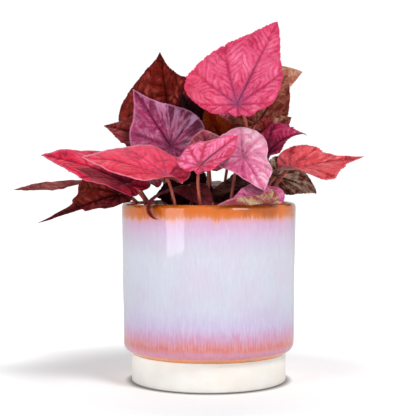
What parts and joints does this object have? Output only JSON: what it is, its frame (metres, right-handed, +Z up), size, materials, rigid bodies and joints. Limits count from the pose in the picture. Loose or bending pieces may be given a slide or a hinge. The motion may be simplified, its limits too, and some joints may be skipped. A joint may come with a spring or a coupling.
{
  "type": "potted rex begonia",
  "caption": "Rex begonia with pink, red and maroon waved leaves on red stems, growing from a creeping rhizome in soil, in a straight glazed stoneware pot with a bare stepped foot.",
  "frame": {"origin": "middle of the pot's flat underside, where it stands", "axes": "+Z up along the pot's axis and the plant's height; -Y is the front seen in the picture, +X to its right"},
  "size_m": [0.2926, 0.2255, 0.3096],
  "materials": {
    "glaze": "glossy pale lilac glaze that runs to streaked salmon and orange bands at the lip and the shoulder, over a bare off-white foot",
    "soil": "dark crumbly potting mix",
    "rhizome": "brown rough creeping stem with leaf scars",
    "stem": "juicy red-brown stalk with fine pale hairs",
    "pink_leaf": "puckered shiny pink blade with grey-purple veins",
    "coral_leaf": "puckered red-pink blade with pale and dark veins",
    "rose_leaf": "light pink silvery blade with deeper pink veins",
    "magenta_leaf": "purple-magenta blade with silver-lilac stripes",
    "maroon_leaf": "dark red-brown puckered blade with sunken veins",
    "olive_leaf": "olive-brown underside with raised reddish veins",
    "ember_leaf": "orange-brown blade with light passing through"
  },
  "bodies": {
    "root": {"pot": "glaze", "soil": "soil", "rhizome": "rhizome", "leaf_01_blade": "pink_leaf", "leaf_01_stem": "stem", "leaf_02_blade": "maroon_leaf", "leaf_02_stem": "stem", "leaf_03_blade": "magenta_leaf", "leaf_03_stem": "stem", "leaf_04_blade": "coral_leaf", "leaf_04_stem": "stem", "leaf_05_blade": "coral_leaf", "leaf_05_stem": "stem", "leaf_06_blade": "pink_leaf", "leaf_06_stem": "stem", "leaf_07_blade": "rose_leaf", "leaf_07_stem": "stem", "leaf_08_blade": "coral_leaf", "leaf_08_stem": "stem", "leaf_09_blade": "olive_leaf", "leaf_09_stem": "stem", "leaf_10_blade": "magenta_leaf", "leaf_10_stem": "stem", "leaf_11_blade": "olive_leaf", "leaf_11_stem": "stem", "leaf_12_blade": "olive_leaf", "leaf_12_stem": "stem", "leaf_13_blade": "ember_leaf", "leaf_13_stem": "stem", "leaf_14_blade": "maroon_leaf", "leaf_14_stem": "stem", "leaf_15_blade": "rose_leaf", "leaf_15_stem": "stem", "leaf_16_blade": "maroon_leaf", "leaf_16_stem": "stem", "leaf_17_blade": "maroon_leaf", "leaf_17_stem": "stem", "leaf_18_blade": "maroon_leaf", "leaf_18_stem": "stem", "leaf_19_blade": "maroon_leaf", "leaf_19_stem": "stem", "leaf_20_blade": "ember_leaf", "leaf_20_stem": "stem", "leaf_21_blade": "magenta_leaf", "leaf_21_stem": "stem", "leaf_22_blade": "olive_leaf", "leaf_22_stem": "stem", "leaf_23_blade": "maroon_leaf", "leaf_23_stem": "stem", "leaf_24_blade": "pink_leaf", "leaf_24_stem": "stem", "leaf_25_blade": "magenta_leaf", "leaf_25_stem": "stem", "leaf_26_blade": "coral_leaf", "leaf_26_stem": "stem", "leaf_27_blade": "coral_leaf", "leaf_27_stem": "stem", "leaf_28_blade": "maroon_leaf", "leaf_28_stem": "stem"}
  },
  "joints": []
}
